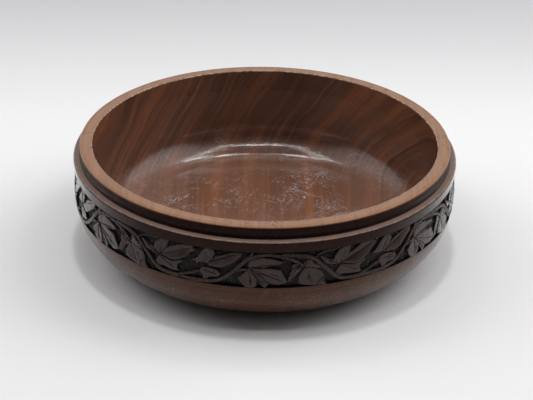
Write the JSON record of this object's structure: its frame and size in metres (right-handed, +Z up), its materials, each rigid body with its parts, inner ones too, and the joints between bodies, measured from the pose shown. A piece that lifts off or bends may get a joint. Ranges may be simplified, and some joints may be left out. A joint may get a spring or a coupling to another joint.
{
  "type": "carved wooden bowl",
  "caption": "Shallow turned wooden bowl with a flat rim, a ledge and a dark carved frieze of leaves on a winding vine.",
  "frame": {"origin": "centre of the foot, on the surface that the bowl stands on", "axes": "+Z up along the turning axis, -Y towards the front"},
  "size_m": [0.302, 0.302, 0.088],
  "materials": {
    "lacquered_wood": "dark red-brown striped hardwood under worn clear lacquer",
    "lacquered_rim": "red-brown hardwood under glossy worn lacquer, paler where the edges are rubbed",
    "black_ground": "rough chiselled ground stained black",
    "stained_carving": "knife-cut leaves and stems stained near black, satin on top"
  },
  "bodies": {
    "root": {"base": "lacquered_wood", "wall": "lacquered_wood", "rim_moulding": "lacquered_rim", "frieze_ground": "black_ground", "vine": "stained_carving", "arch_leaves": "stained_carving", "drop_leaves": "stained_carving", "swag_leaves": "stained_carving"}
  },
  "joints": []
}
